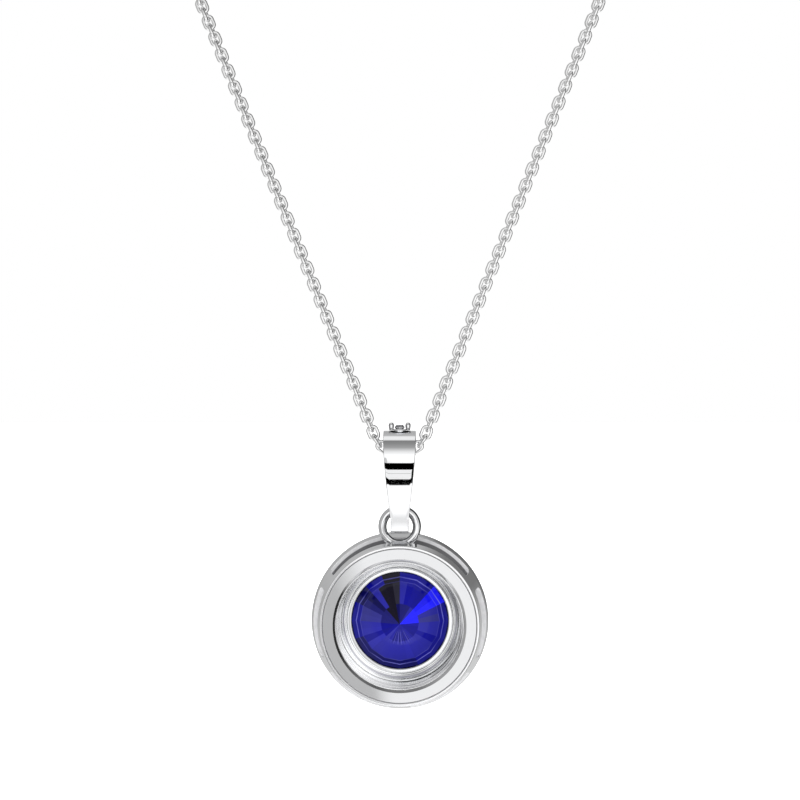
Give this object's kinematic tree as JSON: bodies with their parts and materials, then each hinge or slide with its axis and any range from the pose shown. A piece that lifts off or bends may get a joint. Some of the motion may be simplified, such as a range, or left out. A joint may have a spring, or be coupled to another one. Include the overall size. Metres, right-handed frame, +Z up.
{
  "type": "pendant necklace",
  "caption": "Drum pendant with a pointed blue stone in a polished dish, hung by a ring from a tapered ribbon bail on a fine cable chain with a lobster clasp.",
  "frame": {"origin": "middle of the drum's flat back face", "axes": "+Y along the drum's axis towards the wearer's chest, +Z up towards the neck, +X to the right as seen from the front"},
  "size_m": [0.101, 0.091, 0.1568],
  "materials": {
    "silver": "polished",
    "blue_stone": "polished",
    "clear_stone": "polished",
    "spring_steel": "satin"
  },
  "bodies": {
    "neck_run": {"chain_shoulder_left": "silver", "chain_shoulder_right": "silver", "chain_nape_left": "silver", "chain_nape_right": "silver", "clasp_body": "silver", "clasp_pin": "spring_steel", "clasp_spring": "spring_steel"},
    "run_6": {"chain_run_6_left": "silver", "chain_run_6_right": "silver"},
    "run_5": {"chain_run_5_left": "silver", "chain_run_5_right": "silver"},
    "run_4": {"chain_run_4_left": "silver", "chain_run_4_right": "silver"},
    "run_3": {"chain_run_3_left": "silver", "chain_run_3_right": "silver"},
    "run_2": {"chain_run_2_left": "silver", "chain_run_2_right": "silver"},
    "run_1": {"chain_run_1_left": "silver", "chain_run_1_right": "silver", "link_left_1": "silver", "link_left_2": "silver", "link_left_3": "silver", "link_middle": "silver", "link_right_1": "silver", "link_right_2": "silver", "link_right_3": "silver"},
    "bail": {"bail_band": "silver", "accent_setting": "silver", "accent_stone": "clear_stone"},
    "ring": {"hanging_ring": "silver"},
    "drum": {"drum_wall": "silver", "face_ring": "silver", "reflector_bowl": "silver", "bezel_collet": "silver", "blue_stone": "blue_stone", "back_cover": "silver"},
    "lever": {"clasp_lever": "silver"},
    "end_ring": {"end_ring": "silver"},
    "jump_ring": {"jump_ring": "silver"}
  },
  "joints": [
    {"name": "collar_bend", "type": "hinge", "parent": "neck_run", "child": "run_6", "pos_m": [0, -0.0043, 0.11281], "axis": [1, 0, 0], "range_deg": [-60, 30]},
    {"name": "chain_bend_5", "type": "hinge", "parent": "run_6", "child": "run_5", "pos_m": [0, -0.0043, 0.09668], "axis": [1, 0, 0], "range_deg": [-30, 30]},
    {"name": "chain_bend_4", "type": "hinge", "parent": "run_5", "child": "run_4", "pos_m": [0, -0.0043, 0.08055], "axis": [1, 0, 0], "range_deg": [-30, 30]},
    {"name": "chain_bend_3", "type": "hinge", "parent": "run_4", "child": "run_3", "pos_m": [0, -0.0043, 0.06442], "axis": [1, 0, 0], "range_deg": [-30, 30]},
    {"name": "chain_bend_2", "type": "hinge", "parent": "run_3", "child": "run_2", "pos_m": [0, -0.0043, 0.04829], "axis": [1, 0, 0], "range_deg": [-30, 30]},
    {"name": "chain_bend_1", "type": "hinge", "parent": "run_2", "child": "run_1", "pos_m": [0, -0.0043, 0.03216], "axis": [1, 0, 0], "range_deg": [-30, 30]},
    {"name": "bail_swing", "type": "hinge", "parent": "run_1", "child": "bail", "pos_m": [0, -0.0043, 0.0152], "axis": [1, 0, 0], "range_deg": [-50, 50]},
    {"name": "pendant_tilt", "type": "hinge", "parent": "bail", "child": "ring", "pos_m": [0, -0.0043, 0.01014], "axis": [1, 0, 0], "range_deg": [-45, 45]},
    {"name": "pendant_sway", "type": "hinge", "parent": "ring", "child": "drum", "pos_m": [0, -0.0043, 0.00862], "axis": [0, 1, 0], "range_deg": [-30, 30]},
    {"name": "clasp_lever_press", "type": "hinge", "parent": "neck_run", "child": "lever", "pos_m": [-0.00055, 0.082, 0.14735], "axis": [0, 1, 0], "range_deg": [0, 16], "stiffness_Nm_per_rad": 0.0005},
    {"name": "end_ring_tip", "type": "hinge", "parent": "neck_run", "child": "end_ring", "pos_m": [0.0026, 0.082, 0.1456], "axis": [1, 0, 0], "range_deg": [-20, 20]},
    {"name": "jump_ring_tip", "type": "hinge", "parent": "neck_run", "child": "jump_ring", "pos_m": [-0.0042, 0.082, 0.146], "axis": [1, 0, 0], "range_deg": [-20, 20]}
  ]
}
